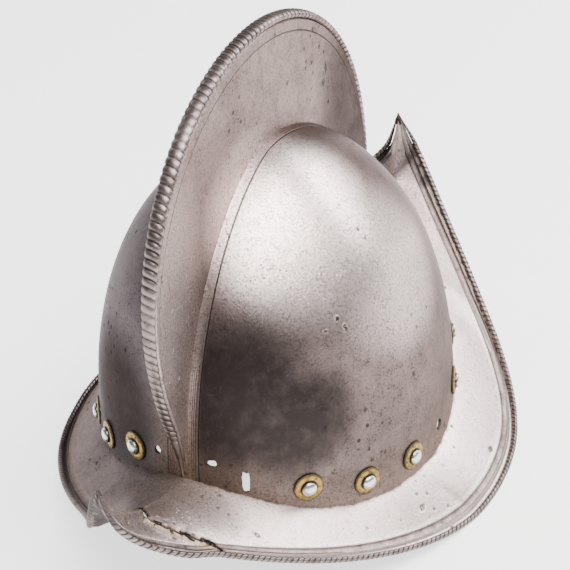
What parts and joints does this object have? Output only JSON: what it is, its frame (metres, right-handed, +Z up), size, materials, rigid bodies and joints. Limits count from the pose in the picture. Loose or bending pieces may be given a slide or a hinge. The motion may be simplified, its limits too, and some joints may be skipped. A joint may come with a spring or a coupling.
{
  "type": "comb morion helmet",
  "caption": "Open iron helmet with a tall hollow comb, a roped ridge, a brim swept up to points front and rear, and lining rivets on brass washers round the skull.",
  "frame": {"origin": "middle of the helmet's box, on the surface that the brim rests on", "axes": "+Z up, -Y towards the front point of the brim, +X towards the wearer's left"},
  "size_m": [0.2438, 0.3527, 0.2532],
  "materials": {
    "helmet_steel": "old bright-polished steel, finely pitted and brown in the corners",
    "washer_brass": "worn, dull olive-gold brass",
    "rivet_steel": "bright worn steel"
  },
  "bodies": {
    "root": {"helmet_shell": "helmet_steel", "washer_left_2": "washer_brass", "rivet_left_2": "rivet_steel", "washer_left_3": "washer_brass", "rivet_left_3": "rivet_steel", "washer_left_4": "washer_brass", "rivet_left_4": "rivet_steel", "washer_left_6": "washer_brass", "rivet_left_6": "rivet_steel", "washer_left_7": "washer_brass", "rivet_left_7": "rivet_steel", "washer_left_8": "washer_brass", "rivet_left_8": "rivet_steel", "washer_left_9": "washer_brass", "rivet_left_9": "rivet_steel", "washer_right_1": "washer_brass", "rivet_right_1": "rivet_steel", "washer_right_2": "washer_brass", "rivet_right_2": "rivet_steel", "washer_right_3": "washer_brass", "rivet_right_3": "rivet_steel", "washer_right_4": "washer_brass", "rivet_right_4": "rivet_steel", "washer_right_5": "washer_brass", "rivet_right_5": "rivet_steel", "washer_right_6": "washer_brass", "rivet_right_6": "rivet_steel", "washer_right_7": "washer_brass", "rivet_right_7": "rivet_steel", "washer_right_8": "washer_brass", "rivet_right_8": "rivet_steel", "washer_right_9": "washer_brass", "rivet_right_9": "rivet_steel"}
  },
  "joints": []
}
